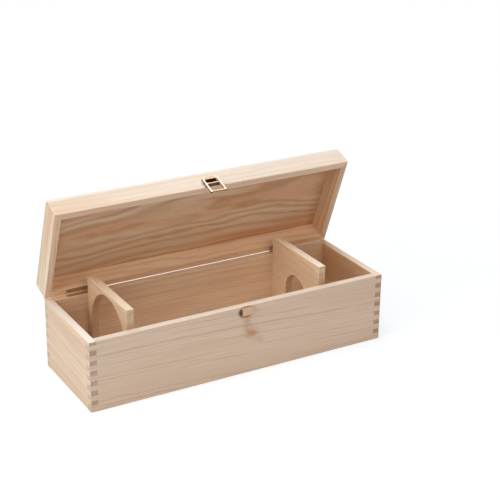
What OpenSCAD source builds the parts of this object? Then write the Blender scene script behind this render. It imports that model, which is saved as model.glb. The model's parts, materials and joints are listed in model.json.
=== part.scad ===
// Wooden case with a hinged lid, two arched dividers and a swinging hasp.
// Millimetres. The origin is the middle of the underside. +X runs along the length to the
// right, +Y to the hinges at the back and +Z up. Pieces of the lid are drawn as they lie
// when it is closed, and one turn about the hinge axis then opens them.

/* [Base] */
// Length of the case over its end walls
case_l = 350; // [310:1:420]
// Width of the case, front to back
case_w = 116; // [108:1:140]
// Height of the base walls
base_h = 78; // [70:1:110]
// Thickness of the base walls
wall_t = 8; // [7.5:0.5:11]
// Thickness of the floor panel
floor_t = 5; // [3:0.5:8]
// Depth of the rebate that the floor panel sits in
floor_rebate = 4; // [2:0.5:5]

/* [Corner joints] */
// Number of pins up each corner of the base
pin_n = 7; // [5:1:8]
// Height of one pin
pin_h = 5.5; // [3:0.1:6.5]
// Middle of the lowest pin above the underside
pin_first_h = 10; // [8:0.5:12]
// Middle of the top pin below the rim
pin_last_drop = 1.1; // [0.5:0.1:1.6]

/* [Lid] */
// Height of the lid's rails
lid_rail_h = 20.5; // [18:0.5:30]
// Thickness of the lid's rails
lid_rail_t = 7.5; // [7.5:0.5:11]
// Thickness of the lid panel
lid_panel_t = 3.5; // [3:0.5:6]
// Gap between the two rims with the lid closed
rim_gap = 0.1; // [0.1:0.05:0.4]
// Relief planed under the back rail between the hinges
rail_relief = 0.6; // [0.3:0.1:1]
// Angle that the lid stands open
lid_open = 69; // [0:1:180]

/* [Dividers] */
// Thickness of both dividers
divider_t = 8.5; // [6:0.5:10]
// Gap between the dividers and the panel of the closed lid
divider_lid_gap = 0.4; // [0.3:0.1:3]
// Left face of the body divider from the left end of the case
body_divider_x = 46; // [30:1:90]
// Right face of the neck divider from the right end of the case
neck_divider_in = 67.5; // [60:0.5:90]
// Wood left at each side of the wide arch in the body divider
body_arch_leg = 9; // [8:0.5:14]
// Wood left above that arch
body_crown_t = 4.5; // [3:0.5:8]
// Radius of the small arch in the neck divider
neck_arch_r = 20; // [15:0.5:24]
// Wood left above that small arch
neck_crown_t = 29; // [20:0.5:35]
// Step back of a divider's front edge, which lets the lid's front rail swing past
divider_setback = 3; // [2.6:0.1:5]
// Drop of that step below the rim
divider_step_drop = 2; // [1:0.5:4]

/* [Hinges] */
// Length of each hinge
hinge_l = 26; // [24:0.5:30]
// Middle of the left hinge from the left end of the case
left_hinge_in = 37; // [30:0.5:60]
// Middle of the right hinge from the right end of the case
right_hinge_in = 62; // [30:0.5:80]
// Depth of a leaf across the rim
leaf_w = 7; // [6:0.1:7.4]
// Thickness of a leaf
leaf_t = 0.8; // [0.6:0.05:1]
// Outer radius of the knuckles
knuckle_r = 1.4; // [1.3:0.05:1.45]
// Length of the lid leaf's one knuckle
mid_knuckle_l = 10; // [6:0.5:12]
// Side gap at each end of that knuckle
knuckle_side_gap = 0.1; // [0.05:0.05:0.3]
// Radius of the hinge pin
hinge_pin_r = 0.7; // [0.5:0.05:0.8]
// Room around the knuckles in the grooves that they lie in
knuckle_room = 0.15; // [0.1:0.05:0.3]
// Hinge axis behind the back wall
pivot_back = 0.05; // [0.05:0.05:0.5]

/* [Fixings] */
// Running gap around every pin
pin_fit = 0.05; // [0.03:0.01:0.1]
// Head radius of the hinge screws
screw_head_r = 1.7; // [1.4:0.05:2]
// Shank radius of the hinge screws
screw_shank_r = 0.8; // [0.6:0.05:1]
// Length of the hinge screws
screw_l = 7; // [5:0.5:9]
// Middle of a hinge screw from the end of its leaf
screw_in = 5; // [3:0.5:7]
// Width of the driver slot
slot_w = 0.45; // [0.3:0.05:0.6]
// Depth of the driver slot
slot_d = 0.35; // [0.2:0.05:0.45]
// Head radius of the latch nails
nail_head_r = 1; // [0.8:0.05:1.2]
// Head height of the latch nails
nail_head_h = 0.5; // [0.3:0.05:0.7]
// Shank radius of the latch nails
nail_shank_r = 0.5; // [0.4:0.05:0.6]
// Length of the latch nails in the wood
nail_l = 5; // [3:0.5:6]

/* [Latch] */
// Middle of the latch to the right of the middle of the case
latch_x = 4; // [-20:1:20]
// Width of the latch plate
latch_plate_w = 16; // [15:0.5:17]
// Thickness of the latch plate
latch_plate_t = 0.8; // [0.6:0.05:1]
// Lower edge of the latch plate above the rim of the lid
latch_plate_low = 1; // [0.5:0.5:4]
// Latch pin above the rim of the lid
hasp_pivot_h = 11.5; // [10:0.5:16]
// Latch pin in front of the lid's face
hasp_pivot_out = 3; // [2.9:0.05:3.3]
// Outer radius of the latch knuckles
hasp_knuckle_r = 1.3; // [1.1:0.05:1.4]
// Radius of the latch pin
latch_pin_r = 0.6; // [0.5:0.05:0.7]
// Length of the hasp's own knuckle
hasp_knuckle_l = 11; // [9:0.5:11]
// Outer width of the hasp
hasp_w = 19; // [18.6:0.1:20]
// Width of the hasp's side bars
hasp_side_w = 2; // [1.4:0.1:2]
// Thickness of the hasp's side bars
hasp_side_t = 1.6; // [1.2:0.1:1.7]
// Thickness of the hasp's cross pieces
hasp_t = 1; // [0.8:0.05:1]
// Width of the hasp's top bar
hasp_top_w = 1.8; // [1.4:0.1:2.2]
// Lower edge of the hasp's crossbar above the rim of the lid
crossbar_h = 1; // [0.5:0.5:3]
// Width of the hasp's crossbar
crossbar_w = 1.5; // [1:0.1:2]
// Width of the hasp's bottom bar
hasp_foot_w = 2; // [1.4:0.1:2.4]
// Gap between the hasp's top bar and the knuckles of the plate
hasp_top_gap = 0.3; // [0.2:0.05:0.5]
// Spread of the two nails in the latch plate
latch_nail_gap = 9; // [7:0.5:10]

/* [Keeper] */
// Width of the keeper
keeper_w = 14; // [12:0.1:14]
// Thickness of the keeper's sheet
keeper_t = 0.8; // [0.6:0.05:0.9]
// Top of the keeper's hook below the rim of the base
keeper_drop = 1.8; // [1.6:0.1:3]
// Height of the keeper's hook
keeper_hook_h = 7.7; // [6.5:0.1:9]
// Depth of the keeper's hook in front of the wall
keeper_out = 3; // [2.8:0.05:3]
// Length of the hook's return towards the wall
keeper_return = 2; // [1.6:0.1:2]
// Reach of the keeper's plate above and below its hook
keeper_lap = 0.8; // [0.4:0.1:1.2]
// Gap between the closed hasp's foot and the hook above it
keeper_foot_gap = 0.3; // [0.2:0.05:0.6]
// Spread of the two nails in the keeper
keeper_nail_gap = 7; // [6:0.5:9]

/* [Hidden] */
$fn = 48;
// One overrun for every cut
over = 1;
half_l = case_l / 2;
half_w = case_w / 2;
// Places of the lid, closed
lid_z = base_h + rim_gap;
panel_z = lid_z + lid_rail_h;
pivot_y = half_w + pivot_back;
pivot_z = base_h + rim_gap / 2;
// Corner joints
pin_pitch = (base_h - pin_last_drop - pin_first_h) / (pin_n - 1);
function pin_low(i) = pin_first_h + i * pin_pitch - pin_h / 2;
function pin_top(i) = min(pin_low(i) + pin_h, base_h);
// Dividers
divider_top = panel_z - divider_lid_gap;
divider_front = half_w - max(wall_t, lid_rail_t) - divider_setback;
body_arch_r = half_w - wall_t - body_arch_leg;
// Hinges
hinge_xs = [left_hinge_in - half_l, half_l - right_hinge_in];
leaf_edge = pivot_y - knuckle_r - 2 * knuckle_side_gap;
screw_y = half_w - leaf_w / 2;
// Latch, measured along Z with the lid closed
face_y = -half_w;
hasp_z = lid_z + hasp_pivot_h;
hasp_y = face_y - hasp_pivot_out;
hasp_face_y = hasp_y - hasp_knuckle_r;
hasp_top_z = hasp_z - hasp_knuckle_r - hasp_top_gap;
window_w = hasp_w - 2 * hasp_side_w;
hook_top = base_h - keeper_drop;
hook_low = hook_top - keeper_hook_h;
foot_top = hook_low - keeper_foot_gap;
foot_low = foot_top - hasp_foot_w;
latch_nail_z = (lid_z + crossbar_h + crossbar_w + hasp_top_z - hasp_top_w) / 2;
keeper_nail_z = (hook_top + hook_low) / 2;

// Shared shapes

// A block between two opposite corners
module block(low, high) {
    translate(low) cube(high - low);
}

// Turns closed lid pieces about the hinge axis to the open lid
module on_lid() {
    translate([0, pivot_y, pivot_z])
        rotate([-lid_open, 0, 0])
            translate([0, -pivot_y, -pivot_z])
                children();
}

// A round bar along X about its middle
module bar_x(r, l) {
    rotate([0, 90, 0]) cylinder(r = r, h = l, center = true);
}

// Base

// The space that the floor panel fills, grown downwards for a cut
module floor_space(extra) {
    reach = [half_l - wall_t + floor_rebate, half_w - wall_t + floor_rebate];
    block([-reach.x, -reach.y, -extra], [reach.x, reach.y, floor_t]);
}

// The pins of one corner, side -1 or 1 along X and along Y, grown outwards for a cut
module corner_pins(sx, sy, extra) {
    for (i = [0 : pin_n - 1]) {
        z_high = pin_top(i) < base_h ? pin_top(i) : base_h + extra;
        mirror([1 - sx, 0, 0]) mirror([0, 1 - sy, 0])
            block([half_l - wall_t, half_w - wall_t - extra, pin_low(i)],
                  [half_l + extra, half_w + extra, z_high]);
    }
}

// A long wall, at the front with side -1 and at the back with side 1
module long_wall(side) {
    y_mid = side * (half_w - wall_t / 2);
    difference() {
        block([-half_l, y_mid - wall_t / 2, 0], [half_l, y_mid + wall_t / 2, base_h]);
        corner_pins(-1, side, over);
        corner_pins(1, side, over);
        floor_space(over);
    }
}

// An end wall with its pins, at the left with side -1 and at the right with side 1
module end_wall(side) {
    x_mid = side * (half_l - wall_t / 2);
    y_in = half_w - wall_t;
    difference() {
        union() {
            block([x_mid - wall_t / 2, -y_in, 0], [x_mid + wall_t / 2, y_in, base_h]);
            corner_pins(side, -1, 0);
            corner_pins(side, 1, 0);
        }
        floor_space(over);
    }
}

module front_wall() {
    color("burlywood") difference() {
        long_wall(-1);
        keeper_nail_shanks();
    }
}

module back_wall() {
    color("burlywood") difference() {
        long_wall(1);
        for (x = hinge_xs) {
            leaf_mortise(x, base_h - leaf_t, base_h + over);
            at_screws(x) screw_shank(base_h, -1);
        }
    }
}

module left_end_wall() {
    color("wheat") end_wall(-1);
}

module right_end_wall() {
    color("wheat") end_wall(1);
}

module floor_panel() {
    color("tan") floor_space(0);
}

// Dividers

// An arched board: the place of its left face, the radius and the wood above the arch
module divider(x_low, arch_r, crown_t) {
    y_in = half_w - wall_t;
    arch_z = divider_top - crown_t - arch_r;
    difference() {
        union() {
            block([x_low, -y_in, floor_t], [x_low + divider_t, y_in, base_h - divider_step_drop]);
            block([x_low, -divider_front, floor_t], [x_low + divider_t, y_in, divider_top]);
        }
        translate([x_low + divider_t / 2, 0, arch_z]) bar_x(arch_r, divider_t + 2 * over);
        block([x_low - over, -arch_r, floor_t - over], [x_low + divider_t + over, arch_r, arch_z]);
    }
}

module body_divider() {
    color("navajowhite") divider(body_divider_x - half_l, body_arch_r, body_crown_t);
}

module neck_divider() {
    color("navajowhite")
        divider(half_l - neck_divider_in - divider_t, neck_arch_r, neck_crown_t);
}

// Hinges

// The cut in a rim that a leaf lies in, with a groove for the knuckles
module leaf_mortise(x, z_low, z_high) {
    block([x - hinge_l / 2, half_w - leaf_w, z_low], [x + hinge_l / 2, half_w + over, z_high]);
    translate([x, pivot_y, pivot_z]) bar_x(knuckle_r + knuckle_room, hinge_l);
}

// The two screw places of a leaf
module at_screws(x) {
    for (side = [-1, 1])
        translate([x + side * (hinge_l / 2 - screw_in), screw_y, 0]) children();
}

// The straight part of a screw, below its head with side -1 and above it with side 1
module screw_shank(face_z, side) {
    depth = screw_l - leaf_t;
    translate([0, 0, face_z + side * (leaf_t + depth / 2)])
        cylinder(r = screw_shank_r, h = depth, center = true);
}

// The cone of a screw head, widest at the leaf's face
module screw_cone(face_z, side) {
    translate([0, 0, face_z + side * leaf_t / 2])
        cylinder(r1 = side > 0 ? screw_head_r : screw_shank_r,
                 r2 = side > 0 ? screw_shank_r : screw_head_r, h = leaf_t, center = true);
}

module screw(face_z, side) {
    difference() {
        union() {
            screw_cone(face_z, side);
            screw_shank(face_z, side);
        }
        translate([0, 0, face_z])
            cube([2 * screw_head_r + over, slot_w, 2 * slot_d], center = true);
    }
}

// A leaf in the base with side -1 or in the lid with side 1, and its knuckles
module leaf(x, face_z, side) {
    z_low = min(face_z, face_z + side * leaf_t);
    base_knuckle_l = (hinge_l - mid_knuckle_l) / 2 - knuckle_side_gap;
    base_knuckle_x = (hinge_l - base_knuckle_l) / 2;
    places = side > 0 ? [0] : [-base_knuckle_x, base_knuckle_x];
    knuckle_l = side > 0 ? mid_knuckle_l : base_knuckle_l;
    difference() {
        union() {
            block([x - hinge_l / 2, half_w - leaf_w, z_low], [x + hinge_l / 2, leaf_edge, z_low + leaf_t]);
            for (place = places) {
                translate([x + place, pivot_y, pivot_z]) bar_x(knuckle_r, knuckle_l);
                block([x + place - knuckle_l / 2, leaf_edge - leaf_t, z_low],
                      [x + place + knuckle_l / 2, pivot_y, z_low + leaf_t]);
            }
        }
        translate([x, pivot_y, pivot_z]) bar_x(hinge_pin_r + pin_fit, hinge_l + 2 * over);
        at_screws(x) screw_cone(face_z, side);
    }
}

module hinge_pin(x) {
    translate([x, pivot_y, pivot_z]) bar_x(hinge_pin_r, hinge_l);
}

module left_hinge_base_leaf() {
    color("goldenrod") leaf(hinge_xs[0], base_h, -1);
}

module right_hinge_base_leaf() {
    color("goldenrod") leaf(hinge_xs[1], base_h, -1);
}

module left_hinge_pin() {
    color("darkgoldenrod") hinge_pin(hinge_xs[0]);
}

module right_hinge_pin() {
    color("darkgoldenrod") hinge_pin(hinge_xs[1]);
}

module hinge_base_screws() {
    color("darkgoldenrod") for (x = hinge_xs) at_screws(x) screw(base_h, -1);
}

module left_hinge_lid_leaf() {
    color("goldenrod") on_lid() leaf(hinge_xs[0], lid_z, 1);
}

module right_hinge_lid_leaf() {
    color("goldenrod") on_lid() leaf(hinge_xs[1], lid_z, 1);
}

module hinge_lid_screws() {
    color("darkgoldenrod") on_lid() for (x = hinge_xs) at_screws(x) screw(lid_z, 1);
}

// Lid

// A long mitred rail, at the front with side -1 and at the back with side 1
module long_rail(side) {
    translate([0, 0, lid_z]) linear_extrude(lid_rail_h) polygon([
        [-half_l, side * half_w], [half_l, side * half_w],
        [half_l - lid_rail_t, side * (half_w - lid_rail_t)],
        [lid_rail_t - half_l, side * (half_w - lid_rail_t)]
    ]);
}

// A short mitred rail, at the left with side -1 and at the right with side 1
module short_rail(side) {
    translate([0, 0, lid_z]) linear_extrude(lid_rail_h) polygon([
        [side * half_l, -half_w], [side * half_l, half_w],
        [side * (half_l - lid_rail_t), half_w - lid_rail_t],
        [side * (half_l - lid_rail_t), lid_rail_t - half_w]
    ]);
}

module lid_front_rail() {
    color("bisque") on_lid() difference() {
        long_rail(-1);
        latch_nail_shanks();
    }
}

module lid_back_rail() {
    color("bisque") on_lid() difference() {
        long_rail(1);
        for (x = hinge_xs) {
            leaf_mortise(x, lid_z - over, lid_z + leaf_t);
            at_screws(x) screw_shank(lid_z, 1);
        }
        block([hinge_xs[0] + hinge_l / 2, half_w - lid_rail_t - over, lid_z - over],
              [hinge_xs[1] - hinge_l / 2, half_w + over, lid_z + rail_relief]);
    }
}

module lid_left_rail() {
    color("bisque") on_lid() short_rail(-1);
}

module lid_right_rail() {
    color("bisque") on_lid() short_rail(1);
}

module lid_panel() {
    color("tan") on_lid() block([-half_l, -half_w, panel_z], [half_l, half_w, panel_z + lid_panel_t]);
}

// Latch

// Two nails side by side, seen from the front: their places and the face under their heads
module at_nails(gap, z, seat) {
    for (side = [-1, 1])
        translate([latch_x + side * gap / 2, face_y - seat, z]) rotate([90, 0, 0]) children();
}

// The shank of a nail, from under its head into the wood
module nail_shank(seat) {
    translate([0, 0, -seat - nail_l]) cylinder(r = nail_shank_r, h = seat + nail_l);
}

module nail(seat) {
    nail_shank(seat);
    cylinder(r = nail_head_r, h = nail_head_h);
}

module latch_nail_shanks() {
    at_nails(latch_nail_gap, latch_nail_z, latch_plate_t) nail_shank(latch_plate_t);
}

module keeper_nail_shanks() {
    at_nails(keeper_nail_gap, keeper_nail_z, keeper_t) nail_shank(keeper_t);
}

module latch_plate() {
    ear_l = (latch_plate_w - hasp_knuckle_l) / 2 - pin_fit;
    ear_x = (latch_plate_w - ear_l) / 2;
    color("goldenrod") on_lid() difference() {
        union() {
            block([latch_x - latch_plate_w / 2, face_y - latch_plate_t, lid_z + latch_plate_low],
                  [latch_x + latch_plate_w / 2, face_y, hasp_z + hasp_knuckle_r]);
            for (side = [-1, 1]) {
                translate([latch_x + side * ear_x, hasp_y, hasp_z]) bar_x(hasp_knuckle_r, ear_l);
                block([latch_x + side * ear_x - ear_l / 2, hasp_y, hasp_z - hasp_knuckle_r],
                      [latch_x + side * ear_x + ear_l / 2, face_y, hasp_z + hasp_knuckle_r]);
            }
        }
        translate([latch_x, hasp_y, hasp_z]) bar_x(latch_pin_r + pin_fit, latch_plate_w + 2 * over);
        latch_nail_shanks();
    }
}

module latch_nails() {
    color("darkgoldenrod") on_lid() at_nails(latch_nail_gap, latch_nail_z, latch_plate_t) nail(latch_plate_t);
}

module latch_pin() {
    color("darkgoldenrod") on_lid() translate([latch_x, hasp_y, hasp_z]) bar_x(latch_pin_r, latch_plate_w);
}

// One crosswise piece of the hasp between two heights
module hasp_cross(width, z_low, z_high) {
    block([latch_x - width / 2, hasp_face_y, z_low], [latch_x + width / 2, hasp_face_y + hasp_t, z_high]);
}

module latch_hasp() {
    crossbar_low = lid_z + crossbar_h;
    side_x = (hasp_w - hasp_side_w) / 2;
    color("gold") on_lid() difference() {
        union() {
            translate([latch_x, hasp_y, hasp_z]) bar_x(hasp_knuckle_r, hasp_knuckle_l - 2 * pin_fit);
            hasp_cross(hasp_knuckle_l - 2 * pin_fit, hasp_top_z - hasp_top_w, hasp_z);
            hasp_cross(hasp_w, hasp_top_z - hasp_top_w, hasp_top_z);
            hasp_cross(hasp_w, crossbar_low, crossbar_low + crossbar_w);
            hasp_cross(hasp_w, foot_low, foot_top);
            for (side = [-1, 1])
                block([latch_x + side * side_x - hasp_side_w / 2, hasp_face_y, foot_low],
                      [latch_x + side * side_x + hasp_side_w / 2, hasp_face_y + hasp_side_t, hasp_top_z]);
        }
        translate([latch_x, hasp_y, hasp_z]) bar_x(latch_pin_r + pin_fit, hasp_w);
    }
}

// The keeper is one bent sheet: a plate, a web at the top, a front and a short return below it
module keeper() {
    x_low = latch_x - keeper_w / 2;
    x_high = latch_x + keeper_w / 2;
    front_y = face_y - keeper_out;
    color("peru") difference() {
        union() {
            block([x_low, face_y - keeper_t, hook_low - keeper_lap], [x_high, face_y, hook_top + keeper_lap]);
            block([x_low, front_y, hook_top - keeper_t], [x_high, face_y, hook_top]);
            block([x_low, front_y, hook_low], [x_high, front_y + keeper_t, hook_top]);
            block([x_low, front_y, hook_low], [x_high, front_y + keeper_return, hook_low + keeper_t]);
        }
        keeper_nail_shanks();
    }
}

module keeper_nails() {
    color("darkgoldenrod") at_nails(keeper_nail_gap, keeper_nail_z, keeper_t) nail(keeper_t);
}

front_wall();
back_wall();
left_end_wall();
right_end_wall();
floor_panel();
body_divider();
neck_divider();
left_hinge_base_leaf();
right_hinge_base_leaf();
left_hinge_pin();
right_hinge_pin();
hinge_base_screws();
keeper();
keeper_nails();
lid_front_rail();
lid_back_rail();
lid_left_rail();
lid_right_rail();
lid_panel();
left_hinge_lid_leaf();
right_hinge_lid_leaf();
hinge_lid_screws();
latch_plate();
latch_nails();
latch_pin();
latch_hasp();
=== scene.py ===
# %% [markdown]
# # A pale wooden case with a hinged lid
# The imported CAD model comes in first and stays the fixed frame: every board, hinge and hasp already
# has its real size and place there. This script gives those pieces the look of the real case, which is
# made of pale planed pine with small brass fittings. All lengths are in metres.

import json
import math

import bmesh
import bpy
import numpy as np
from mathutils import Euler, Matrix, Vector


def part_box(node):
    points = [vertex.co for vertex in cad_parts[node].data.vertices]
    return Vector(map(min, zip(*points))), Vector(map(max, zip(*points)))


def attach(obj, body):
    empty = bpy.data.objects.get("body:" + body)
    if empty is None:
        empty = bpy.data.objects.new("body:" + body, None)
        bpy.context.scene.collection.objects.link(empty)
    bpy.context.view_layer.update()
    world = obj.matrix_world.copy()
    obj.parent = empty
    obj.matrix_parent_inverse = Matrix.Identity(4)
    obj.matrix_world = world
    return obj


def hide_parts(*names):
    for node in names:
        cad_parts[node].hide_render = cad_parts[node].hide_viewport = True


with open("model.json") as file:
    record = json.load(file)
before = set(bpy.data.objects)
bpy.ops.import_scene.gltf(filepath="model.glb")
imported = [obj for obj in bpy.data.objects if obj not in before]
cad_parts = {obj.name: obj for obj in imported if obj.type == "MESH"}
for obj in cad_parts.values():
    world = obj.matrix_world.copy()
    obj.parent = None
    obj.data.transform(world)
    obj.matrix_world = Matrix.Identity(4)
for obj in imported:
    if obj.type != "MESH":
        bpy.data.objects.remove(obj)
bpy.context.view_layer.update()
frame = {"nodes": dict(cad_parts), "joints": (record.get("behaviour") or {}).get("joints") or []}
MM = 0.001

# %% [markdown]
# The lid is modelled open, so the grain and the rounded edges of its boards need to know how it lies when
# it is closed. Its hinge says that: the lowest angle of the joint is the one that closes the lid. The
# hinge's axis lies half way between the two rims, so the lid's rim is as far above it as the base's is
# below.

# %% Measures from the frame
joints = {joint["name"]: joint for joint in frame["joints"]}
LID_OPEN = -math.radians(joints["lid_hinge"]["range_deg"][0])
HINGE_Y, HINGE_Z = joints["lid_hinge"]["pos_m"][1:]
HASP_Y, HASP_Z = joints["hasp_hinge"]["pos_m"][1:]


def points_of(mesh):
    """The points of a mesh, as an array with a row for each."""
    places = np.zeros(len(mesh.vertices) * 3)
    mesh.vertices.foreach_get("co", places)
    return places.reshape(-1, 3)


def corners(node):
    """All corner points of a CAD node."""
    return points_of(frame["nodes"][node].data)


def closed(points):
    """Points of the open lid turned back about the hinge by the angle that it stands open."""
    y, z = points[:, 1] - HINGE_Y, points[:, 2] - HINGE_Z
    return np.column_stack([points[:, 0],
                            HINGE_Y + math.cos(LID_OPEN) * y - math.sin(LID_OPEN) * z,
                            HINGE_Z + math.sin(LID_OPEN) * y + math.cos(LID_OPEN) * z])


X_OUT, RIM = corners("front_wall").max(0)[[0, 2]]
X_IN = corners("right_end_wall")[:, 0].min()
Y_OUT, Y_IN = corners("back_wall")[:, 1].max(), corners("back_wall")[:, 1].min()
WALL = Y_OUT - Y_IN
FLOOR_TOP = corners("floor_panel")[:, 2].max()
LID_RIM, LID_TOP = 2 * HINGE_Z - RIM, closed(corners("lid_panel"))[:, 2].max()
print("case", np.round([2 * X_OUT, 2 * Y_OUT, LID_TOP], 4), "rim", round(RIM, 4))
print("walls", round(WALL, 4), "lid open by", round(math.degrees(LID_OPEN), 1), "degrees")

# %% [markdown]
# The camera stands in front of the case, to its left and above it, and is some way off with a long lens,
# so the box hardly narrows towards the back. Azimuth, elevation and roll give its three directions; the
# distance and two small offsets say where the middle of the case's underside lies in its view. A camera
# looks along its own minus Z, and so does a lamp, so one function sets up both.

# %% Camera
AZIMUTH, ELEVATION, ROLL = (math.radians(a) for a in (-30.27, 22.80, 0.77))
DISTANCE, OFFSET_X, OFFSET_Y = 1.4465, -0.0362, -0.1112
FOCAL_LENGTH_MM, SENSOR_MM = 94.83, 36


def set_up(name, data, axes, place):
    """Puts a camera or lamp in the scene. The columns of its matrix are its X, Y and Z directions and
    its place."""
    obj = bpy.data.objects.new(name, data)
    obj.matrix_world = Matrix(np.column_stack([*axes, place]).tolist() + [[0, 0, 0, 1]])
    bpy.context.scene.collection.objects.link(obj)
    return obj


back = np.array([math.sin(AZIMUTH) * math.cos(ELEVATION),
                 -math.cos(AZIMUTH) * math.cos(ELEVATION), math.sin(ELEVATION)])
level = np.cross([0, 0, 1], back)
level /= np.linalg.norm(level)
rise = np.cross(back, level)
right = math.cos(ROLL) * level + math.sin(ROLL) * rise
up = math.cos(ROLL) * rise - math.sin(ROLL) * level
viewpoint = -OFFSET_X * right - OFFSET_Y * up + DISTANCE * back

camera_data = bpy.data.cameras.new("camera")
camera_data.sensor_width = SENSOR_MM
camera_data.lens = FOCAL_LENGTH_MM
bpy.context.scene.camera = set_up("camera", camera_data, (right, up, back), viewpoint)
print("camera at", np.round(viewpoint, 3), "with a lens of", FOCAL_LENGTH_MM, "mm")

# %% [markdown]
# Colours are written as the sRGB hex values that one would pick from a screen. Blender's shaders work
# with linear light, so one function turns a hex value into linear numbers, and one small function adds a
# node with its settings and links.

# %% Colour and node helpers
def linear(hex_colour):
    """sRGB to linear, per channel: values up to 0.04045 are divided by 12.92, and above that
    the value plus 0.055, over 1.055, is raised to the power 2.4."""
    c = np.array([int(hex_colour[i:i + 2], 16) for i in (1, 3, 5)]) / 255
    low = c <= 0.04045
    return (*np.where(low, c / 12.92, ((c + 0.055) / 1.055) ** 2.4), 1.0)


def add(tree, kind, inputs=None, **settings):
    """Adds one node. inputs maps a socket's name or number to a value or to another node's output."""
    node = tree.nodes.new(kind)
    for key, value in settings.items():
        setattr(node, key, value)
    for key, value in (inputs or {}).items():
        if isinstance(value, bpy.types.NodeSocket):
            tree.links.new(value, node.inputs[key])
        else:
            node.inputs[key].default_value = value
    return node


def new_material(name):
    """A new node material, its tree and its Principled shader."""
    material = bpy.data.materials.new(name)
    material.use_nodes = True
    return material, material.node_tree, material.node_tree.nodes["Principled BSDF"]


print("linear mid grey", np.round(linear("#808080"), 3))

# %% [markdown]
# Real wood has its pattern all through the board, so it is drawn in space and not on the surface. A tree
# grows one ring a year round its pith, and a board is a slice of that. Each point of a board is turned
# into log coordinates, with X along the trunk; its distance from the pith says which ring it is in. A
# board cut far from the pith shows near-parallel lines, and one cut beside it shows long arches. The same
# material then matches round every corner, and the end of a board shows its rings too.
#
# Every pattern in wood is stretched along the trunk. Each has its own number of waves in a metre: one
# along the trunk, and one for both directions across it. A metre over that number is the real size.

# %% Log coordinates
STRAY_WAVES = (4, 14, 14)  # the pith strays to and fro in 250 mm along and 70 mm across
PATCH_WAVES = (16, 160, 160)  # a ring line is plain or faint for 60 mm along and 6 mm across
ZONE_WAVES = (3.5, 34, 34)  # rosy zones of 290 mm along and 30 mm across
FIBRE_WAVES = (16, 800, 800)  # streaks of 60 mm along and 1.25 mm across


def to_log(node, along, on_lid, slope):
    """The rotation that turns a board's own grain to X, with a small slope of the trunk against the
    board, and the board's middle. The grain runs along X or, for a board across the case, along Y."""
    turn = Euler((LID_OPEN if on_lid else 0.0, 0, 0.0 if along == "X" else -math.pi / 2)).to_matrix()
    trunk = Euler([math.radians(a) for a in (0, *slope)]).to_matrix()
    low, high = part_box(node)
    return trunk @ turn, (low + high) / 2


def strayed(tree, log, seed, wander):
    """Log coordinates whose pith strays slowly, with finer waves inside the slow one. wander: in mm, and
    three times that is the whole range of the noise, which seldom leaves the middle third of it."""
    slow = add(tree, "ShaderNodeVectorMath", {0: log, 1: STRAY_WAVES}, operation="MULTIPLY")
    stray = add(tree, "ShaderNodeTexNoise", {"Vector": slow.outputs[0], "W": seed, "Scale": 1.0,
                "Detail": 3.0, "Roughness": 0.45, "Lacunarity": 2.6}, noise_dimensions="4D")
    centred = add(tree, "ShaderNodeVectorMath", {0: stray.outputs["Color"], 1: (0.5, 0.5, 0.5)},
                  operation="SUBTRACT")
    reach = (0, 3 * wander * MM, 3 * wander * MM)
    return add(tree, "ShaderNodeVectorMath", {0: centred.outputs[0], 1: reach, 2: log},
               operation="MULTIPLY_ADD").outputs[0]


print("the lid's boards are turned by", round(math.degrees(LID_OPEN), 1), "degrees to lie as when closed")

# %% [markdown]
# A year's ring starts with wide, pale early wood. It darkens to late wood towards the end of the year and
# stops soon after. Some years are wide and some narrow, some dark and some faint, and on a planed board
# a line also comes and goes along its length. So the rings are counted from the pith outwards, and the
# whole part of the count is the year and the rest of it the season.

# %% Rings
def years_from_pith(tree, place, ring):
    """Counts the rings: the distance from the pith over the mean width of a year, in mm. A slow wave
    over the count, some two years long, adds up to 1.8 years, so that some are wide and some narrow."""
    across = add(tree, "ShaderNodeVectorMath", {0: place, 1: (0, 1, 1)}, operation="MULTIPLY")
    radius = add(tree, "ShaderNodeVectorMath", {0: across.outputs[0]}, operation="LENGTH")
    age = add(tree, "ShaderNodeMath", {0: radius.outputs["Value"], 1: 1 / (ring * MM)}, operation="MULTIPLY")
    years = add(tree, "ShaderNodeTexNoise", {"W": age.outputs[0], "Scale": 0.45, "Detail": 1.0},
                noise_dimensions="1D")
    return add(tree, "ShaderNodeMath", {0: years.outputs["Fac"], 1: 1.8, 2: age.outputs[0]},
               operation="MULTIPLY_ADD").outputs[0]


def season(tree, count, late_wood, contrast):
    """How dark the season is: 0 in early wood, and up to the contrast in late wood, or to 0.4 of it in
    the faintest year. late_wood: where it starts and is darkest, as shares of a year."""
    phase = add(tree, "ShaderNodeMath", {0: count}, operation="FRACT")
    year = add(tree, "ShaderNodeMath", {0: count}, operation="FLOOR")
    strength = add(tree, "ShaderNodeTexWhiteNoise", {"W": year.outputs[0]}, noise_dimensions="1D")
    weight = add(tree, "ShaderNodeMapRange", {"Value": strength.outputs["Value"],
                 "To Min": 0.4 * contrast, "To Max": contrast})
    late = add(tree, "ShaderNodeMapRange", {"Value": phase.outputs[0], "From Min": late_wood[0],
               "From Max": late_wood[1]}, interpolation_type="SMOOTHSTEP")
    end = add(tree, "ShaderNodeMapRange", {"Value": phase.outputs[0], "From Min": late_wood[1],
              "From Max": 1.0, "To Min": 1.0, "To Max": 0.0}, interpolation_type="SMOOTHSTEP")
    line = add(tree, "ShaderNodeMath", {0: late.outputs[0], 1: end.outputs[0]}, operation="MULTIPLY")
    return add(tree, "ShaderNodeMath", {0: line.outputs[0], 1: weight.outputs[0]},
               operation="MULTIPLY").outputs[0]


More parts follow.
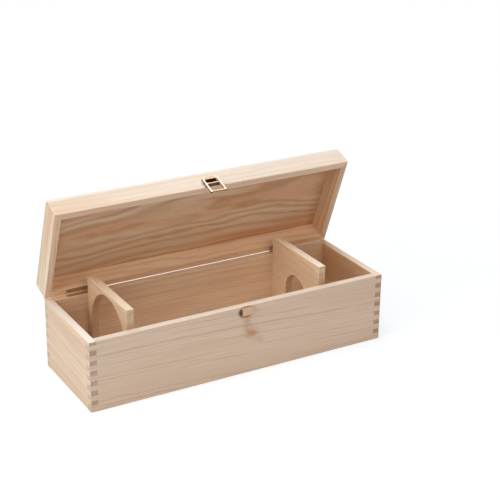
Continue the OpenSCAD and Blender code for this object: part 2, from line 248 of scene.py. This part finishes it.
def ring_lines(tree, place, ring, late_wood, contrast, broken):
    """How dark the wood is at a place: its season, times a slow noise that makes each line come and go.
    broken: the share of a line's strength that it takes."""
    drawn = season(tree, years_from_pith(tree, place, ring), late_wood, contrast)
    long = add(tree, "ShaderNodeVectorMath", {0: place, 1: PATCH_WAVES}, operation="MULTIPLY")
    patch = add(tree, "ShaderNodeTexNoise", {"Vector": long.outputs[0], "Scale": 1.0, "Detail": 1.0})
    plain = add(tree, "ShaderNodeMapRange", {"Value": patch.outputs["Fac"], "From Min": 0.38,
                "From Max": 0.58, "To Min": 1 - broken, "To Max": 1.0}, interpolation_type="SMOOTHSTEP")
    return add(tree, "ShaderNodeMath", {0: drawn, 1: plain.outputs[0]}, operation="MULTIPLY").outputs[0]


print("a ring line is plain for some", round(1 / PATCH_WAVES[0] / MM), "mm and then faint for as long")

# %% [markdown]
# The front wall has one small knot below the keeper. It is the foot of a thin branch: two brown specks in
# a soft stain, with a greyer tail that leans down to the right. Below and beside the keeper the wood is
# darkened with painted shade, for the shadow under the keeper and the dark of its open side. Each of these
# marks is an ellipse with a soft, ragged edge, laid over the colour of the board. It goes half way through
# the wall and no deeper, so the inside of the wall is clean.

# %% Marks on the front wall
keeper_low, keeper_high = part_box("keeper")
keeper_x, keeper_z = (keeper_low[0] + keeper_high[0]) / 2, (keeper_low[2] + keeper_high[2]) / 2


def spot(tree, coordinates, colour, middle, reach, stain_or_shade, strength, lean, ragged, soft=1.0):
    """One mark on the outside of the front wall: a real stain, or painted shade beside the keeper.
    middle: right of and above the keeper's middle, in mm. reach: half its width and height, in mm. lean: in
    degrees. ragged: how far a noise of some 4 mm eats into its edge, and soft: how wide its edge fades, as
    shares of the reach."""
    turn = Euler((0, math.radians(-lean), 0)).to_matrix()
    scale = Vector((1 / (reach[0] * MM), 1 / (WALL / 2), 1 / (reach[1] * MM)))
    start = turn @ Vector((keeper_x + middle[0] * MM, -Y_OUT, keeper_z + middle[1] * MM))
    turned = add(tree, "ShaderNodeMapping", {0: coordinates.outputs["Object"], "Rotation": turn.to_euler()})
    at = add(tree, "ShaderNodeVectorMath", {0: turned.outputs[0], 1: scale, 2: -start * scale},
             operation="MULTIPLY_ADD")
    blur = add(tree, "ShaderNodeTexNoise", {"Vector": coordinates.outputs["Object"], "Scale": 230.0,
               "Detail": 2.0})
    far = add(tree, "ShaderNodeVectorMath", {0: at.outputs[0]}, operation="LENGTH")
    edge = add(tree, "ShaderNodeMath", {0: blur.outputs["Fac"], 1: ragged, 2: far.outputs["Value"]},
               operation="MULTIPLY_ADD")
    cover = add(tree, "ShaderNodeMapRange", {"Value": edge.outputs[0], "From Min": 0.5 * ragged + 1 - soft,
                "From Max": 0.5 * ragged + 1, "To Min": strength, "To Max": 0.0},
                interpolation_type="SMOOTHSTEP")
    return add(tree, "ShaderNodeMix", {"Factor": cover.outputs[0], "A": colour, "B": linear(stain_or_shade)},
               data_type="RGBA").outputs["Result"]


# Each row is middle, reach, colour, strength, lean, ragged and, for a narrow edge, soft. The first four
# are the knot's stain, its two specks and its tail, and the last three are painted shade below and beside
# the keeper.
marks = [
    ((4.5, -26), (14, 11), "#C28650", 0.62, 25, 0.9),
    ((2, -24.5), (5.5, 3.8), "#A8682E", 0.3, 25, 1.2),
    ((7, -27), (6, 4.2), "#A8682E", 0.34, 25, 1.2),
    ((14.5, -35), (13, 6), "#AE8C66", 0.25, 40, 1.0),
    # painted shade: the shadow under the keeper, then a brown rim and a dark line beside it
    ((0, -12), (8.5, 12), "#BE8858", 0.42, 0, 0.9),
    ((0.6, -1.2), (10.8, 7.6), "#A8703A", 0.6, 0, 0.3, 0.5),
    ((-1.2, -0.8), (11.3, 7.7), "#4E2602", 0.95, 0, 0.1, 0.4),
]
print("keeper at", round(keeper_x, 4), round(keeper_z, 4), "marks", len(marks))

# %% [markdown]
# Planed pine is cream to pink between its rings, in broad rosy zones. Where a cut crosses the fibres, the
# open ends drink in the light: end grain is darker, which is what draws the finger joints at the corners.
# Faces that look up, which are the rims, get a tone of their own, mostly paler, as painted light from above.
# The edges of the lid's thin panel show its rings so close together that they read as one tone, and that
# tone stays paler than its broad faces, whose darker, warmer colour is partly painted shade. Each of these
# is a small function, and the material calls those that its board needs.

# %% Tones of pine
def zoned(tree, place, seed, zones, pale, rose):
    """The colour between the rings, from pale to rose by a noise in broad zones."""
    broad = add(tree, "ShaderNodeVectorMath", {0: place, 1: ZONE_WAVES}, operation="MULTIPLY")
    zone = add(tree, "ShaderNodeTexNoise", {"Vector": broad.outputs[0], "W": seed + 3, "Scale": 1.0,
               "Detail": 2.0}, noise_dimensions="4D")
    rosy = add(tree, "ShaderNodeMapRange", {"Value": zone.outputs["Fac"], "From Min": 0.36, "From Max": 0.66,
               "To Max": zones}, interpolation_type="SMOOTHSTEP")
    return add(tree, "ShaderNodeMix", {"Factor": rosy.outputs[0], "A": linear(pale), "B": linear(rose)},
               data_type="RGBA").outputs["Result"]


def plain_edged(tree, coordinates, across_board, colour, edges):
    """One plain tone on the narrow faces. It gives way to the colour as a surface turns, either way, to
    the direction across the board, which is square to its broad faces."""
    flat = add(tree, "ShaderNodeVectorMath", {0: coordinates.outputs["Normal"], 1: across_board},
               operation="DOT_PRODUCT")
    face = add(tree, "ShaderNodeMath", {0: flat.outputs["Value"]}, operation="ABSOLUTE")
    whole = add(tree, "ShaderNodeMapRange", {"Value": face.outputs[0], "From Min": 0.2, "From Max": 0.8})
    return add(tree, "ShaderNodeMix", {"Factor": whole.outputs[0], "A": linear(edges), "B": colour},
               data_type="RGBA").outputs["Result"]


def painted_top_light(tree, coordinates, colour, rim):
    """Painted light from above: up to three quarters of the colour rim where the surface faces up."""
    facing = add(tree, "ShaderNodeSeparateXYZ", {0: coordinates.outputs["Normal"]})
    lit_share = add(tree, "ShaderNodeMapRange", {"Value": facing.outputs["Z"], "From Min": 0.5, "To Max": 0.75})
    return add(tree, "ShaderNodeMix", {"Factor": lit_share.outputs[0], "A": colour, "B": linear(rim)},
               data_type="RGBA").outputs["Result"]


def end_shade(tree, coordinates, along_board, end_grain):
    """1 on long grain, falling to end_grain where the surface faces along the board. It falls with the
    square of the cosine between the two directions, from 0.3 to 0.9."""
    facing = add(tree, "ShaderNodeVectorMath", {0: coordinates.outputs["Normal"], 1: along_board},
                 operation="DOT_PRODUCT")
    square = add(tree, "ShaderNodeMath", {0: facing.outputs["Value"], 1: facing.outputs["Value"]},
                 operation="MULTIPLY")
    return add(tree, "ShaderNodeMapRange", {"Value": square.outputs[0], "From Min": 0.3, "From Max": 0.9,
               "To Min": 1.0, "To Max": end_grain}).outputs[0]


print("rosy zones are some", round(1 / ZONE_WAVES[0] / MM), "mm long and", round(1 / ZONE_WAVES[1] / MM),
      "mm wide")

# %% [markdown]
# One material for each board puts these together: the zones, light brown rings in them, and the tones
# above. Fine fibres give it a faint silky streak, which a Bump node also lifts by a hair. It has no
# varnish, so it is rough and has only wood's own weak shine. The planks differ in their ring width, their
# place in the trunk and their colours, and those are what each board says of itself. Some boards whose
# inner faces show have darker, warmer colours as painted shade for the inside of the case and the lid.

# %% Pine
PINE_ROUGHNESS = 0.6  # bare wood has 0.5 to 0.8, and fine planing keeps it near the lower end


def pine(node, along, from_pith, on_lid, ring=6.0, wander=6.0, slope=(1.0, 0.6), contrast=0.5,
         late_wood=(0.35, 0.85), broken=0.2, zones=1.0, end_grain=0.8, pale="#EDD2B8", dark="#C79F7C",
         rose="#E2BE9E", edges=None, rim=None, spots=()):
    """Planed pine for one board: zones, then rings, then what lies over them, times fibres and end
    shade. from_pith: across the trunk, from the pith to the board's middle, in mm. ring: mean width of a
    year, in mm. slope: of the trunk, in degrees. zones: strength of the rosy zones. edges: one tone for
    the edges of a thin panel, where the rings lie too close together to be told apart. rim: a colour
    painted where the surface faces up, as painted light from above."""
    material, tree, shader = new_material("planed pine, " + node.replace("_", " "))
    rotation, middle = to_log(node, along, on_lid, slope)
    # the letters of the name give each board a place of its own in the noise, the same in each run
    seed = sum(map(ord, node)) % 97 * 0.37
    coordinates = add(tree, "ShaderNodeTexCoord")
    start = Vector((0, from_pith[0] * MM, from_pith[1] * MM)) - rotation @ middle
    log = add(tree, "ShaderNodeMapping", {0: coordinates.outputs["Object"], "Rotation": rotation.to_euler(),
              "Location": start}).outputs[0]
    place = strayed(tree, log, seed, wander)
    amount = ring_lines(tree, place, ring, late_wood, contrast, broken)
    ground = zoned(tree, place, seed, zones, pale, rose)
    colour = add(tree, "ShaderNodeMix", {"Factor": amount, "A": ground, "B": linear(dark)},
                 data_type="RGBA").outputs["Result"]
    if edges:
        colour = plain_edged(tree, coordinates, rotation.transposed() @ Vector((0, 0, 1)), colour, edges)
    if rim:
        colour = painted_top_light(tree, coordinates, colour, rim)
    for mark in spots:
        colour = spot(tree, coordinates, colour, *mark)
    # real fibres are some 0.03 mm wide, too fine to show, so they are drawn as streaks of 1.25 mm
    thin = add(tree, "ShaderNodeVectorMath", {0: log, 1: FIBRE_WAVES}, operation="MULTIPLY")
    fibre = add(tree, "ShaderNodeTexNoise", {"Vector": thin.outputs[0], "Scale": 1.0, "Detail": 3.0,
                "Roughness": 0.6})
    streak = add(tree, "ShaderNodeMapRange", {"Value": fibre.outputs["Fac"], "From Min": 0.3,
                 "From Max": 0.7, "To Min": 0.93, "To Max": 1.05})
    shade = end_shade(tree, coordinates, rotation.transposed() @ Vector((1, 0, 0)), end_grain)
    tone = add(tree, "ShaderNodeMath", {0: streak.outputs[0], 1: shade}, operation="MULTIPLY")
    wood = add(tree, "ShaderNodeVectorMath", {0: colour, "Scale": tone.outputs[0]}, operation="SCALE")
    bump = add(tree, "ShaderNodeBump", {"Height": fibre.outputs["Fac"], "Strength": 0.2,
               "Distance": 0.1 * MM})
    tree.links.new(wood.outputs[0], shader.inputs["Base Color"])
    tree.links.new(bump.outputs[0], shader.inputs["Normal"])
    shader.inputs["Roughness"].default_value = PINE_ROUGHNESS
    print(material.name, "with", len(tree.nodes), "nodes,", ring, "mm a year")
    return material


print("fibres are drawn", round(1 / FIBRE_WAVES[1] / MM, 2), "mm wide")

# %% [markdown]
# Nothing on the real case has razor edges, but the CAD pieces do, and their faces come as loose
# triangles. So a piece with softer edges is a copy, whose triangles are merged and whose flat faces are
# made whole again, until only its real edges are left. A Bevel rounds those, and weighted normals keep
# the faces between them flat. The copy then stands for the CAD piece and rides on the same body.

# %% Merged copies
SAME_POINT = 0.001 * MM


def merged_copy(node, name):
    """A copy of a CAD node with its loose triangles merged and its flat faces made whole."""
    mesh = frame["nodes"][node].data.copy()
    mesh.materials.clear()
    work = bmesh.new()
    work.from_mesh(mesh)
    bmesh.ops.remove_doubles(work, verts=work.verts, dist=SAME_POINT)
    bmesh.ops.dissolve_limit(work, angle_limit=math.radians(0.5), verts=work.verts, edges=work.edges)
    work.to_mesh(mesh)
    work.free()
    mesh.name = name
    piece = bpy.data.objects.new(name, mesh)
    bpy.context.scene.collection.objects.link(piece)
    return piece


def ease(piece, width, shares=None, segments=3):
    """Rounds each edge by its share of the width, or every sharp edge, and keeps flat faces flat."""
    bevel = piece.modifiers.new("eased edges", "BEVEL")
    bevel.width = width
    bevel.segments = segments
    if shares is None:
        bevel.limit_method = "ANGLE"
        bevel.angle_limit = math.radians(50)
    else:
        bevel.limit_method = "WEIGHT"
        attribute = piece.data.attributes.new("bevel_weight_edge", "FLOAT", "EDGE")
        attribute.data.foreach_set("value", shares.astype(np.float32))
    piece.data.shade_smooth()
    piece.data.set_sharp_from_angle(angle=math.radians(30))
    flat = piece.modifiers.new("flat faces", "WEIGHTED_NORMAL")
    flat.keep_sharp = True


def put(piece, node, body, material):
    """Gives a finished piece its material, its body and the CAD node that it stands for."""
    piece.data.materials.append(material)
    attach(piece, body)
    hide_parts(node)


print("points within", SAME_POINT / MM, "mm of each other are merged")

# %% [markdown]
# The maker of a case breaks the edges of its boards with a stroke of sandpaper. How far an edge is
# rounded depends on where it lies. Open edges get 0.7 mm and those of the dividers 0.55 mm. Edges where
# two boards meet flush get 0.1 mm, which draws the fine lines of the finger joints.

# %% Boards
BOARD_EASE = 1.0 * MM
OPEN_SHARE, JOINT_SHARE, DIVIDER_SHARE = 0.7, 0.1, 0.55
IN_PLANE = 0.01 * MM


def edge_ends(mesh):
    """The two end points of every edge, as two arrays of points."""
    points = points_of(mesh)
    ends = np.zeros(len(mesh.edges) * 2, int)
    mesh.edges.foreach_get("vertices", ends)
    return points[ends[::2]], points[ends[1::2]]


def lie_on(a, b, planes):
    """For each edge from a to b and each plane (axis, place): whether the edge lies in the plane."""
    return np.column_stack([(np.abs(a[:, axis] - at) < IN_PLANE) & (np.abs(b[:, axis] - at) < IN_PLANE)
                            for axis, at in planes])


def case_shares(a, b, rim, far):
    """Open edges lie in two outer planes, or in the rim and an inner wall. Joints lie in one outer plane.
    The two edges that nearly touch at the hinges stay sharp, so no light comes through beside them."""
    outer = lie_on(a, b, [(0, -X_OUT), (0, X_OUT), (1, -Y_OUT), (1, Y_OUT), (2, far), (2, rim)]).sum(1)
    inner = lie_on(a, b, [(0, -X_IN), (0, X_IN), (1, -Y_IN), (1, Y_IN)]).any(1)
    shares = np.where(outer == 1, JOINT_SHARE, 0.0)
    shares[lie_on(a, b, [(2, rim)])[:, 0] & inner] = OPEN_SHARE
    shares[outer >= 2] = OPEN_SHARE
    shares[lie_on(a, b, [(1, Y_OUT), (2, rim)]).all(1)] = 0.0
    return shares


def divider_shares(a, b):
    """A divider is open all round, but for its edges on the floor panel, which stay sharp."""
    return np.where(lie_on(a, b, [(2, FLOOR_TOP)])[:, 0], 0.0, DIVIDER_SHARE)


def board(node, body, slot, along, from_pith, shares=None, **look):
    """One eased board in place of its CAD node, with the grain along X or Y. shares: a function of its
    edges, if it isn't a board of the box itself. look: what else pine takes."""
    piece = merged_copy(node, node + "_board")
    a, b = edge_ends(piece.data)
    if shares:
        shares = shares(a, b)
    elif body == "lid":
        shares = case_shares(closed(a), closed(b), LID_RIM, LID_TOP)
    else:
        shares = case_shares(a, b, RIM, 0.0)
    ease(piece, BOARD_EASE, shares)
    put(piece, node, body, pine(node, along, from_pith, body == "lid", **look))
    print(piece.name, len(piece.data.vertices), "corners before rounding")


# %% [markdown]
# The base is four walls of 8 mm pine, finger-jointed at the corners, a floor let in from below, and two
# upright dividers, one with a wide arch and one with a small one. The four walls come from different
# planks, so each has its own ring width, slope and distance from the pith. The front wall's lines fall a
# little to the right and are broken, and the rims of the end walls and dividers get a tone of their own
# where they face up, as painted light from above.

# %% Base
board("front_wall", "base", "wall_wood", "X", (70, 150), ring=5.2, slope=(-1.5, 0.5), contrast=0.52,
      late_wood=(0.58, 0.85), broken=0.75, zones=0.35, pale="#E5CBB3", dark="#BC9674", rose="#DAB799",
      spots=marks)
board("back_wall", "base", "wall_wood", "X", (-60, 120), ring=4.5, slope=(-0.8, 0.5), contrast=0.45,
      pale="#EFD6BC")
# the end walls' rim colours are painted light from above, on the faces that look up
board("left_end_wall", "base", "wall_wood", "Y", (60, 140), ring=6.0, slope=(2.0, 0.5), contrast=0.5,
      end_grain=0.66, rim="#FAE5D3")
# the right end wall's inner face shows, and its darker, warmer colours are painted shade for the inside of
# the case
board("right_end_wall", "base", "wall_wood", "Y", (-60, 130), ring=5.0, slope=(-1.5, 0.5), contrast=0.4,
      end_grain=0.66, pale="#E6C49E", dark="#BF9269", rose="#DBB188", rim="#F7DAC0")
board("floor_panel", "base", "panel_wood", "X", (20, 60), ring=5.5)
# each divider's rim gets its own tone where it faces up, as painted light from above
for divider, rim in (("body_divider", "#EBCBAA"), ("neck_divider", "#F8DEC4")):
    board(divider, "base", "divider_wood", "Y", (30, 110), divider_shares, ring=4.5, slope=(4.0, 1.0),
          contrast=0.6, end_grain=0.85, pale="#EDCEAE", rim=rim)

# %% [markdown]
# The lid is a frame of four mitred rails with a thin panel glued on top of it. The panel is cut close to
# the pith, so its inside shows wide, wavy flames that run to fine lines near the hinges. It has the
# strongest pattern of the whole case.

# %% Lid
board("lid_front_rail", "lid", "rail_wood", "X", (90, 60), ring=4.0, slope=(0.5, 0.7), contrast=0.35)
board("lid_back_rail", "lid", "rail_wood", "X", (90, 40), ring=4.0, slope=(0.8, 0.7), contrast=0.62,
      pale="#FCE4CA", dark="#D2A278", rose="#F6D6B4")
# the right rail's inner face shows, and its darker colours are painted shade for the inside of the lid
for side, pale, dark in (("left", "#F0D6BA", "#C69A74"), ("right", "#DEB68E", "#B08052")):
    board(f"lid_{side}_rail", "lid", "rail_wood", "Y", (80, 60), ring=4.0, slope=(1.5, 0.7),
          contrast=0.65, pale=pale, dark=dark)
# the panel's darker, warmer colours are partly painted shade for the inside of the lid
board("lid_panel", "lid", "panel_wood", "X", (8, 50), ring=6.0, wander=11, slope=(2.4, 0.8), contrast=0.8,
      late_wood=(0.1, 0.62), edges="#EDD6C0", pale="#E8D0B4", dark="#BE8A5C", rose="#DDAB83")

# %% [markdown]
# The fittings are stamped from thin brass sheet and rolled round their pins. What sets them apart is their
# colour and what is painted on them: the hasp's cut edges are dark with painted shade, its bars across are
# browner than its sides, and the latch plate is dark with painted shade but keeps the brass colour at its
# knuckles. Each of these is a function that changes the colour in one place, found from Object coordinates
# or from the way that the surface faces.

# %% Wear on brass
KNUCKLE_BRASS = "#EAD3B8"


def unshaded_knuckles(tree, coordinates, colour, y, z, reach):
    """The knuckles' own brass colour, out of the painted shade, within reach of a line along X at y and z,
    and fading out over 0.15 of that.
    """
    off = add(tree, "ShaderNodeVectorMath", {0: coordinates.outputs["Object"], 1: (0, 1, 1),
              2: (0, -y, -z)}, operation="MULTIPLY_ADD")
    far = add(tree, "ShaderNodeVectorMath", {0: off.outputs[0]}, operation="LENGTH")
    near = add(tree, "ShaderNodeMapRange", {"Value": far.outputs["Value"], "From Min": reach,
               "From Max": 1.15 * reach, "To Min": 1.0, "To Max": 0.0})
    return add(tree, "ShaderNodeMix", {"Factor": near.outputs[0], "A": colour, "B": linear(KNUCKLE_BRASS)},
               data_type="RGBA").outputs["Result"]


def browner_bars(tree, coordinates, colour, middle, half_length, bar_colour):
    """Bars along X in their own colour, up to half their length from the middle and 1 mm of fading."""
    x = add(tree, "ShaderNodeSeparateXYZ", {0: coordinates.outputs["Object"]})
    from_middle = add(tree, "ShaderNodeMath", {0: x.outputs["X"], 1: middle}, operation="SUBTRACT")
    along = add(tree, "ShaderNodeMath", {0: from_middle.outputs[0]}, operation="ABSOLUTE")
    end = add(tree, "ShaderNodeMapRange", {"Value": along.outputs[0], "From Min": half_length,
              "From Max": half_length + 1 * MM})
    return add(tree, "ShaderNodeMix", {"Factor": end.outputs[0], "A": linear(bar_colour), "B": colour},
               data_type="RGBA").outputs["Result"]


def edge_painted_shade(tree, coordinates, colour, edge_shade_colour):
    """Painted shade on the cut edges of sheet that lies on the lid's front, which turn away from that
    face's direction: a dark outline round the hasp. The absolute value keeps both faces of the sheet bright."""
    facing = add(tree, "ShaderNodeVectorMath", {0: coordinates.outputs["Normal"],
                 1: (0, -math.cos(LID_OPEN), math.sin(LID_OPEN))}, operation="DOT_PRODUCT")
    either = add(tree, "ShaderNodeMath", {0: facing.outputs["Value"]}, operation="ABSOLUTE")
    flat = add(tree, "ShaderNodeMapRange", {"Value": either.outputs[0], "From Min": 0.1, "From Max": 0.8})
    return add(tree, "ShaderNodeMix", {"Factor": flat.outputs[0], "A": linear(edge_shade_colour), "B": colour},
               data_type="RGBA").outputs["Result"]


print("knuckle brass in linear light", np.round(linear(KNUCKLE_BRASS)[:3], 3))

# %% [markdown]
# Brass is a metal, so it takes its colour from the Base Color and keeps the default IOR. It is a little
# cloudy where it was handled: a noise some 3 mm wide mixes two tones and makes some places rougher. The
# lacquered hasp is bright at its sides, browner on the bars between them, and dark with painted shade at its
# cut edges. The latch plate is painted dark as the shade that the hasp keeps on it, but keeps the brass
# colour at its knuckles, which stand out of that shade. The keeper is duller than the hasp, pins, nails and
# screws are about as dull as the keeper, and the hinges, in their shade, are the dullest.

# %% Brass
def brass(name, colour, tarnish, roughness, *wear):
    """Brass whose cloudy places are tarnished and up to 0.12 rougher. wear: a function for what happened
    to it, and what that takes, as often as needed."""
    material, tree, shader = new_material(name)
    coordinates = add(tree, "ShaderNodeTexCoord")
    cloud = add(tree, "ShaderNodeTexNoise", {"Vector": coordinates.outputs["Object"], "Scale": 350.0,
                "Detail": 3.0})
    mixed = add(tree, "ShaderNodeMix", {"Factor": cloud.outputs["Fac"], "A": linear(colour),
                "B": linear(tarnish)}, data_type="RGBA").outputs["Result"]
    for worn, *values in wear:
        mixed = worn(tree, coordinates, mixed, *values)
    rough = add(tree, "ShaderNodeMapRange", {"Value": cloud.outputs["Fac"], "To Min": roughness - 0.08,
                "To Max": roughness + 0.12})
    tree.links.new(mixed, shader.inputs["Base Color"])
    tree.links.new(rough.outputs[0], shader.inputs["Roughness"])
    shader.inputs["Metallic"].default_value = 1.0
    print(name, "with", len(tree.nodes), "nodes")
    return material


hasp_low, hasp_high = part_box("latch_hasp")
hasp_middle, hasp_half = (hasp_low[0] + hasp_high[0]) / 2, (hasp_high[0] - hasp_low[0]) / 2
# the hasp's cut edges get painted shade, a dark outline round it
latch_brass = brass("lacquered brass, stamped and rolled, hasp", "#E6CCB2", "#C9AD93", 0.42,
                    (browner_bars, hasp_middle, hasp_half - 3 * MM, "#BC9A7C"), (edge_painted_shade, "#5A3C26"))
# the latch plate is painted dark as the shade under the hasp, and keeps the brass colour at its knuckles
plate_brass_painted_shade = brass("brass darkened as painted shade, latch plate", "#5C4028", "#38251A", 0.35,
                    (unshaded_knuckles, HASP_Y, HASP_Z, 1.9 * MM))
hinge_brass = brass("dull brass, stamped and rolled, hinges", "#D2B296", "#AE8E70", 0.55)
keeper_brass = brass("dull brass, bent, keeper", "#CBAC92", "#B79A80", 0.5)
fixing_brass = brass("dull brass, turned, pins and screws", "#CBB090", "#9E8468", 0.48)

# %% [markdown]
# Stamped sheet has soft edges, so the hasp, the plate, the keeper and the hinge leaves are merged copies
# with small bevels. Pins, nails and screws are already round in the CAD model. They keep that form and
# only get their brass, and the pin of the latch has the hasp's.

# %% Fittings
def stamped(node, body, material, width):
    """One piece of brass sheet with soft edges, in place of its CAD node."""
    piece = merged_copy(node, node + "_sheet")
    ease(piece, width, segments=2)
    put(piece, node, body, material)
    print(piece.name, "in", material.name)


stamped("latch_hasp", "hasp", latch_brass, 0.4 * MM)
stamped("latch_plate", "lid", plate_brass_painted_shade, 0.15 * MM)
stamped("keeper", "base", keeper_brass, 0.3 * MM)
for side in ("left", "right"):
    stamped(f"{side}_hinge_base_leaf", "base", hinge_brass, 0.12 * MM)
    stamped(f"{side}_hinge_lid_leaf", "lid", hinge_brass, 0.12 * MM)
for node, obj in frame["nodes"].items():
    if not obj.hide_render:
        obj.data.materials.clear()
        obj.data.materials.append(latch_brass if node == "latch_pin" else fixing_brass)
        print(node, "keeps its CAD form in", obj.data.materials[0].name)

# %% [markdown]
# The case stands in a white studio. The sky is white for the camera and in reflections, so that brass has
# something to mirror, and gives no light besides. The light comes from three large, soft, plain lamps that
# are far off: one over the case, one at its left and one in front. So the case has soft shading and no
# hard shadow.

# %% Sky and lamps
AIM = (0, 0, 0.05)  # the place that the lamps face, in the middle of the case


def looked_at(tree):
    """1 for a ray that the camera sees straight, in a reflection or through glass, and 0 for lighting."""
    ray = add(tree, "ShaderNodeLightPath")
    seen = add(tree, "ShaderNodeMath", {0: ray.outputs["Is Camera Ray"], 1: ray.outputs["Is Glossy Ray"]},
               operation="MAXIMUM")
    return add(tree, "ShaderNodeMath", {0: seen.outputs[0], 1: ray.outputs["Is Transmission Ray"]},
               operation="MAXIMUM").outputs[0]


def softbox(name, place, size, watts, tint):
    """A square area lamp that faces the case. Its sides are square to the direction away from the case,
    and the first of them to Y too, which is tipped by a thousandth so that the two never coincide."""
    lamp = bpy.data.lights.new(name, "AREA")
    lamp.size = size
    lamp.energy = watts
    lamp.color = linear(tint)[:3]
    away = np.subtract(place, AIM)
    away = away / np.linalg.norm(away)
    side = np.cross([0.0, 1.0, 0.001], away)
    side /= np.linalg.norm(side)
    set_up(name, lamp, (side, np.cross(away, side), away), place)
    print(name, watts, "W at", place)


bpy.context.scene.view_settings.view_transform = "Standard"
world = bpy.data.worlds.new("studio")
bpy.context.scene.world = world
world.use_nodes = True
sky = world.node_tree
sky.links.new(looked_at(sky), sky.nodes["Background"].inputs["Strength"])
sky.nodes["Background"].inputs["Color"].default_value = (1, 1, 1, 1)

softbox("top softbox", (-0.1, 0.2, 1.6), 1.4, 28.8, "#D8ECFF")
softbox("left softbox", (-1.4, -0.3, 0.8), 1.0, 12.1, "#FEFFF5")
softbox("front softbox", (0.3, -1.5, 1.2), 1.0, 8.5, "#FFE3CB")

# %% [markdown]
# The floor is a wide sheet of white paper, a hair below the case so that the two never share a plane. Part
# of what the camera sees of it is the real, lit paper, which keeps the shadow of the case, and the rest is
# plain white. The lit part fades out away from the case. Where it shows, the white part is a little
# stronger to make up for its grey, so that both add up to white.

# %% Floor
FLOOR_HALF, FLOOR_DOWN = 6.0, 0.2 * MM
FADE_FROM, FADE_TO = 0.25, 0.8
WHITE_SHARE, WHITE_LEVEL = 0.62, 1.15

floor_mesh = bpy.data.meshes.new("floor")
floor_mesh.from_pydata([(x * FLOOR_HALF, y * FLOOR_HALF, -FLOOR_DOWN)
                        for x, y in ((-1, -1), (1, -1), (1, 1), (-1, 1))], [], [(0, 1, 2, 3)])
floor = bpy.data.objects.new("floor", floor_mesh)
bpy.context.scene.collection.objects.link(floor)

paper, tree, shader = new_material("white paper floor")
shader.inputs["Base Color"].default_value = linear("#F4F4F4")
shader.inputs["Roughness"].default_value = 0.9
on_floor = add(tree, "ShaderNodeTexCoord")
off = add(tree, "ShaderNodeVectorMath", {0: on_floor.outputs["Object"]}, operation="LENGTH")
fade = add(tree, "ShaderNodeMapRange", {"Value": off.outputs["Value"], "From Min": FADE_FROM,
           "From Max": FADE_TO, "To Min": WHITE_SHARE, "To Max": 1.0}, interpolation_type="SMOOTHSTEP")
share = add(tree, "ShaderNodeMath", {0: looked_at(tree), 1: fade.outputs[0]}, operation="MULTIPLY")
white = add(tree, "ShaderNodeMapRange", {"Value": off.outputs["Value"], "From Min": FADE_FROM,
            "From Max": FADE_TO, "To Min": WHITE_LEVEL, "To Max": 1.0}, interpolation_type="SMOOTHSTEP")
glow = add(tree, "ShaderNodeEmission", {"Color": (1, 1, 1, 1), "Strength": white.outputs[0]})
both = add(tree, "ShaderNodeMixShader", {0: share.outputs[0], 1: shader.outputs[0], 2: glow.outputs[0]})
tree.links.new(both.outputs[0], tree.nodes["Material Output"].inputs["Surface"])
floor_mesh.materials.append(paper)
print("floor", 2 * FLOOR_HALF, "m wide, all white from", FADE_TO, "m off")
